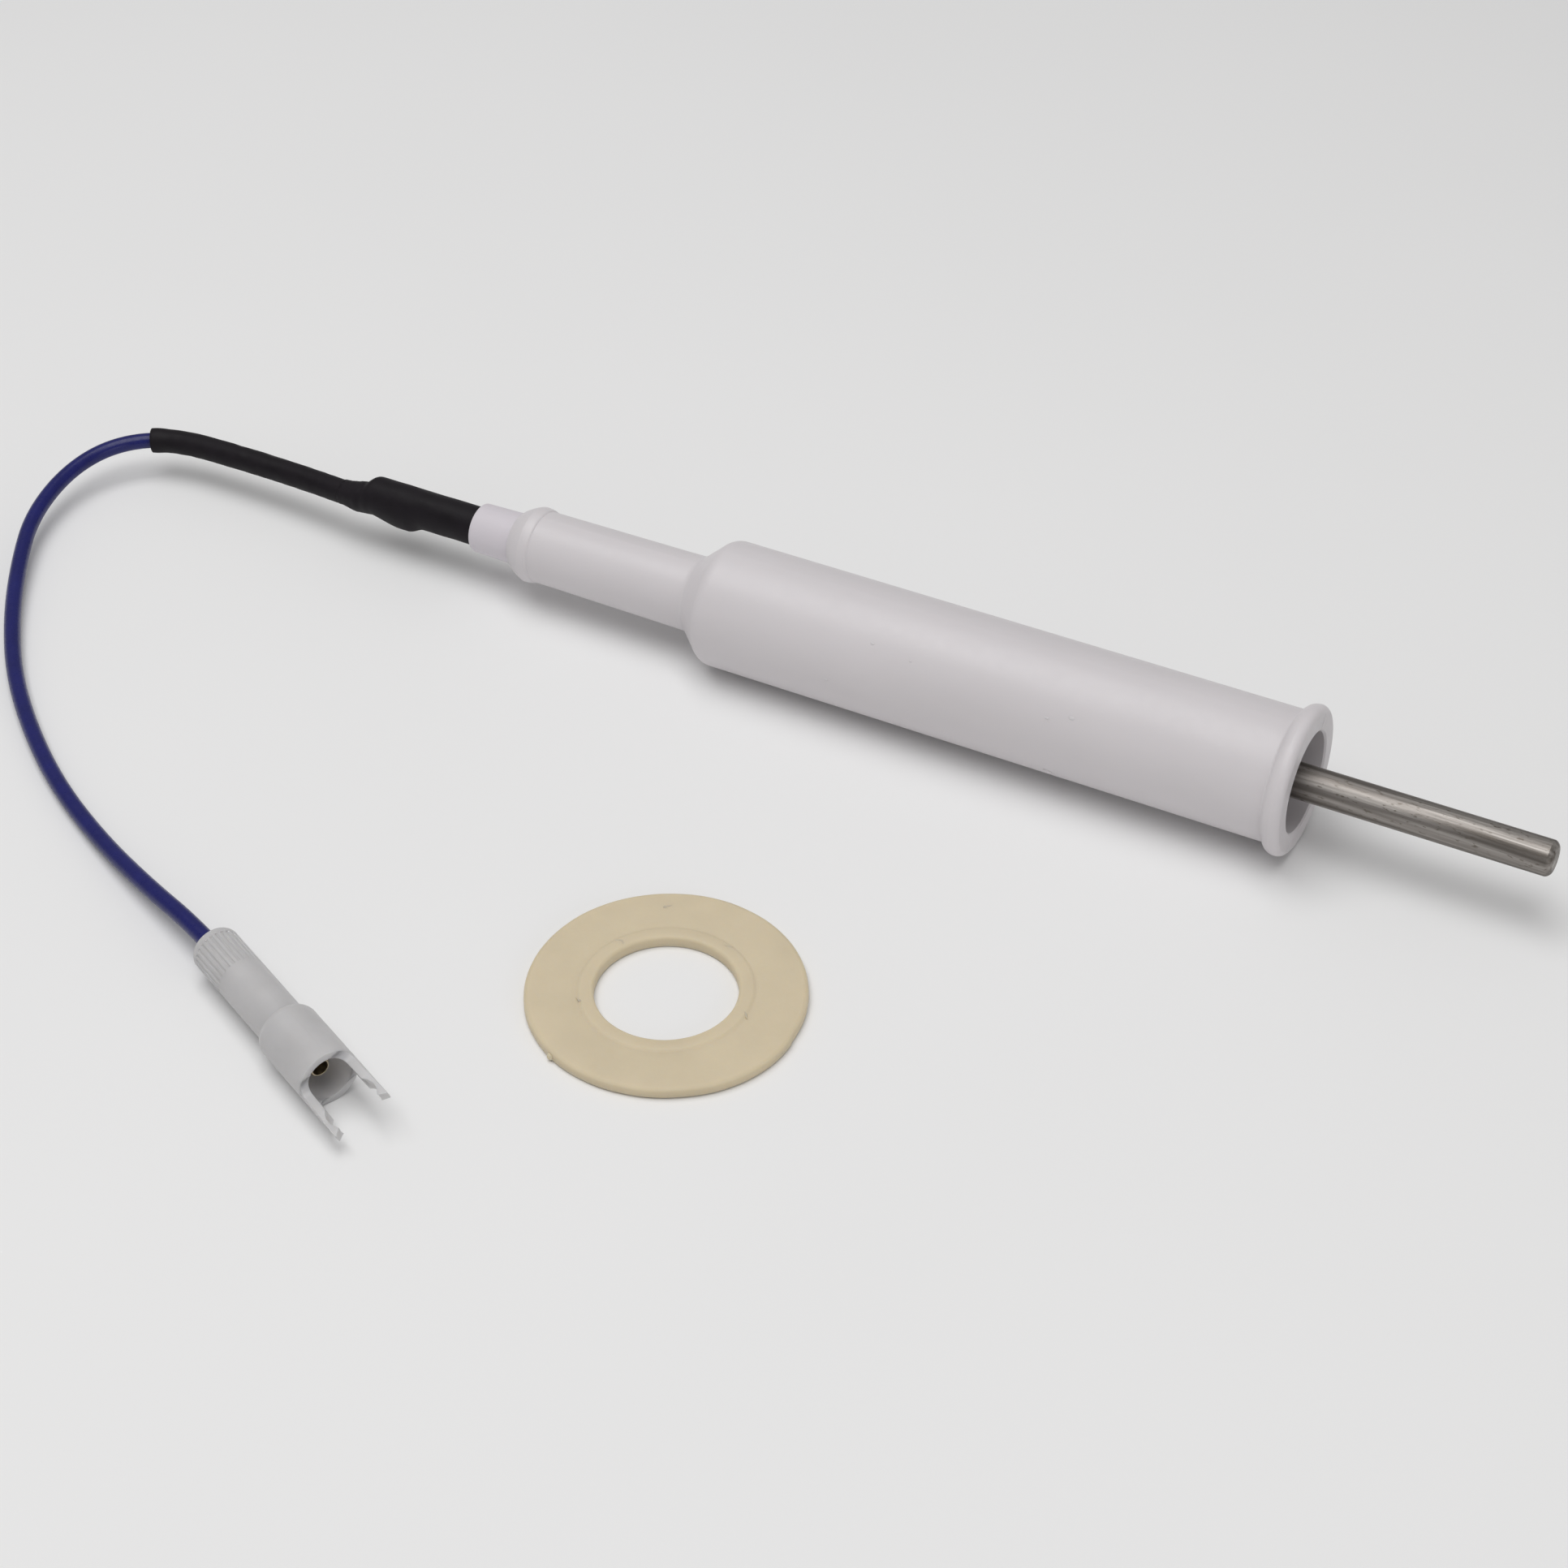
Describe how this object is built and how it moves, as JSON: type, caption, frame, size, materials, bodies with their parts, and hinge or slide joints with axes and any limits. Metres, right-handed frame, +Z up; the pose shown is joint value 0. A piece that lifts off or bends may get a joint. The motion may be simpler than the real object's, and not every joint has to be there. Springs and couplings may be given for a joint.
{
  "type": "flame sensor probe",
  "caption": "Flanged insulating tube holding a long steel flame-sensing rod, with a sleeved lead, a latching plug-in connector and a loose flat ring gasket.",
  "frame": {"origin": "on the probe's axis, at the rear face of the flange", "axes": "+Z up from the table that everything lies on; +X along the probe towards the electrode's tip. The probe rests on its flange rim and on the rear edge of its barrel, so its axis rises 0.83 degrees towards the tip; +Y completes a right-handed frame"},
  "size_m": [0.2328, 0.1197, 0.0212],
  "materials": {
    "holder_plastic": "white moulded insulating plastic, satin gloss",
    "bush_plastic": "white moulded plastic, fine matte",
    "seal_compound": "off-white cast sealing compound",
    "electrode_steel": "drawn heat-resistant steel bar with a broken edge",
    "ferrule_metal": "tin-plated crimp sleeve",
    "shrink_sleeve": "black heat-shrunk polyolefin, matte",
    "lead_insulation": "dark blue PVC, semi-gloss",
    "copper_strand": "fine copper strands",
    "connector_nylon": "natural nylon, milky and translucent",
    "contact_metal": "tin-plated brass",
    "gasket_silicone": "cream silicone rubber, matte"
  },
  "bodies": {
    "probe": {"holder_body": "holder_plastic", "rod_bush": "bush_plastic", "rod_seal": "seal_compound", "electrode_rod": "electrode_steel", "splice_ferrule": "ferrule_metal", "splice_sleeve": "shrink_sleeve", "lead_sleeve": "shrink_sleeve", "lead_insulation": "lead_insulation", "lead_conductor": "copper_strand", "connector_housing": "connector_nylon", "socket_contact": "contact_metal"},
    "gasket": {"gasket": "gasket_silicone"},
    "left_arm": {"latch_arm_left": "connector_nylon"},
    "right_arm": {"latch_arm_right": "connector_nylon"}
  },
  "joints": [
    {"name": "gasket_lift", "type": "slide", "parent": "probe", "child": "gasket", "axis": [0, 0, 1], "range_m": [0, 0.04]},
    {"name": "left_arm_flex", "type": "hinge", "parent": "probe", "child": "left_arm", "pos_m": [-0.08323, -0.09858, -0.00494], "axis": [-0.1601, -0.3387, 0.9272], "range_deg": [0, 6], "stiffness_Nm_per_rad": 0.02},
    {"name": "right_arm_flex", "type": "hinge", "parent": "probe", "child": "right_arm", "pos_m": [-0.08648, -0.10546, -0.00801], "axis": [0.1601, 0.3387, -0.9272], "range_deg": [0, 6], "stiffness_Nm_per_rad": 0.02}
  ]
}
